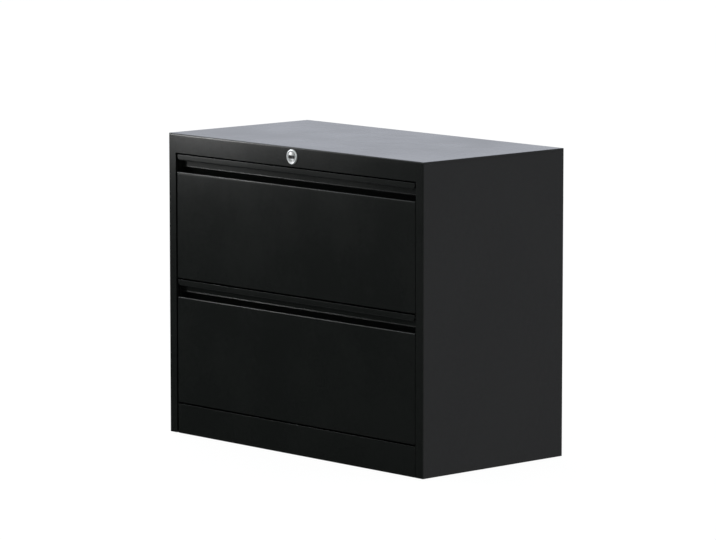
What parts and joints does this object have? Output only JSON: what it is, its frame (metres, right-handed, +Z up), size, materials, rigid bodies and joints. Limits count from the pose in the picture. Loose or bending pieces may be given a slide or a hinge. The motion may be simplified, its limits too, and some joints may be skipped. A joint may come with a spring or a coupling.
{
  "type": "lateral filing cabinet",
  "caption": "Wide low steel filing cabinet: folded case, full-width drawers with finger pulls on telescopic slides, and a keyed lock whose rod and bar hold the drawers shut.",
  "frame": {"origin": "on the floor, under the centre of the cabinet's bounding box", "axes": "+X along the width, to the right as seen from the front; +Y from the drawers to the back; +Z up"},
  "size_m": [0.9, 0.461, 0.7385],
  "materials": {
    "black_paint": "semi-gloss powder coat",
    "zinc_steel": "zinc plated",
    "chrome": "bright plated",
    "black_plastic": "moulded",
    "dark_iron": "primed"
  },
  "bodies": {
    "case": {"top_panel": "black_paint", "back_panel": "black_paint", "kick_panel": "black_paint", "bottom_panel": "black_paint", "counterweight": "dark_iron", "side_panel_left": "black_paint", "side_panel_right": "black_paint", "upright_front_left": "zinc_steel", "upright_front_right": "zinc_steel", "upright_rear_left": "zinc_steel", "upright_rear_right": "zinc_steel", "base_rail_front": "zinc_steel", "base_rail_rear": "zinc_steel", "lock_housing": "chrome", "lock_nut": "zinc_steel", "lock_rod_bracket": "zinc_steel", "lock_bar_guide_upper": "zinc_steel", "lock_bar_guide_lower": "zinc_steel", "upper_slide_outer_left": "zinc_steel", "upper_slide_outer_right": "zinc_steel", "lower_slide_outer_left": "zinc_steel", "lower_slide_outer_right": "zinc_steel"},
    "upper_drawer": {"upper_drawer_front": "black_paint", "upper_drawer_pull": "black_paint", "upper_drawer_inner_front": "black_paint", "upper_drawer_back": "black_paint", "upper_drawer_floor": "black_paint", "upper_drawer_side_left": "black_paint", "upper_drawer_side_right": "black_paint", "upper_drawer_catch": "zinc_steel", "upper_file_bar_left": "zinc_steel", "upper_file_bar_right": "zinc_steel", "upper_slide_inner_left": "zinc_steel", "upper_slide_inner_right": "zinc_steel"},
    "upper_slides": {"upper_slide_middle_left": "zinc_steel", "upper_slide_middle_right": "zinc_steel"},
    "lower_drawer": {"lower_drawer_front": "black_paint", "lower_drawer_pull": "black_paint", "lower_drawer_inner_front": "black_paint", "lower_drawer_back": "black_paint", "lower_drawer_floor": "black_paint", "lower_drawer_side_left": "black_paint", "lower_drawer_side_right": "black_paint", "lower_drawer_catch": "zinc_steel", "lower_file_bar_left": "zinc_steel", "lower_file_bar_right": "zinc_steel", "lower_slide_inner_left": "zinc_steel", "lower_slide_inner_right": "zinc_steel"},
    "lower_slides": {"lower_slide_middle_left": "zinc_steel", "lower_slide_middle_right": "zinc_steel"},
    "lock_cylinder": {"lock_plug": "chrome", "lock_rod": "zinc_steel"},
    "lock_gang": {"lock_bar": "zinc_steel", "lock_hook_upper": "zinc_steel", "lock_hook_lower": "zinc_steel"},
    "front_left_glide": {"glide_front_left": "black_plastic"},
    "front_right_glide": {"glide_front_right": "black_plastic"},
    "rear_left_glide": {"glide_rear_left": "black_plastic"},
    "rear_right_glide": {"glide_rear_right": "black_plastic"}
  },
  "joints": [
    {"name": "upper_drawer_slide", "type": "slide", "parent": "case", "child": "upper_drawer", "axis": [0, -1, 0], "range_m": [0, 0.4]},
    {"name": "upper_middle_slide", "type": "slide", "parent": "case", "child": "upper_slides", "axis": [0, -1, 0], "range_m": [0, 0.2]},
    {"name": "lower_drawer_slide", "type": "slide", "parent": "case", "child": "lower_drawer", "axis": [0, -1, 0], "range_m": [0, 0.4]},
    {"name": "lower_middle_slide", "type": "slide", "parent": "case", "child": "lower_slides", "axis": [0, -1, 0], "range_m": [0, 0.2]},
    {"name": "lock_turn", "type": "hinge", "parent": "case", "child": "lock_cylinder", "pos_m": [0, 0, 0.715], "axis": [0, 1, 0], "range_deg": [0, 90]},
    {"name": "lock_lift", "type": "slide", "parent": "case", "child": "lock_gang", "axis": [0, 0, 1], "range_m": [0, 0.01]},
    {"name": "front_left_glide_set", "type": "slide", "parent": "case", "child": "front_left_glide", "axis": [0, 0, -1], "range_m": [0, 0.012]},
    {"name": "front_right_glide_set", "type": "slide", "parent": "case", "child": "front_right_glide", "axis": [0, 0, -1], "range_m": [0, 0.012]},
    {"name": "rear_left_glide_set", "type": "slide", "parent": "case", "child": "rear_left_glide", "axis": [0, 0, -1], "range_m": [0, 0.012]},
    {"name": "rear_right_glide_set", "type": "slide", "parent": "case", "child": "rear_right_glide", "axis": [0, 0, -1], "range_m": [0, 0.012]}
  ],
  "couplings": [
    {"joint": "upper_middle_slide", "follows": "upper_drawer_slide", "ratio": 0.5},
    {"joint": "lower_middle_slide", "follows": "lower_drawer_slide", "ratio": 0.5},
    {"joint": "lock_turn", "follows": "lock_lift", "rad_per_m": 157.08}
  ]
}
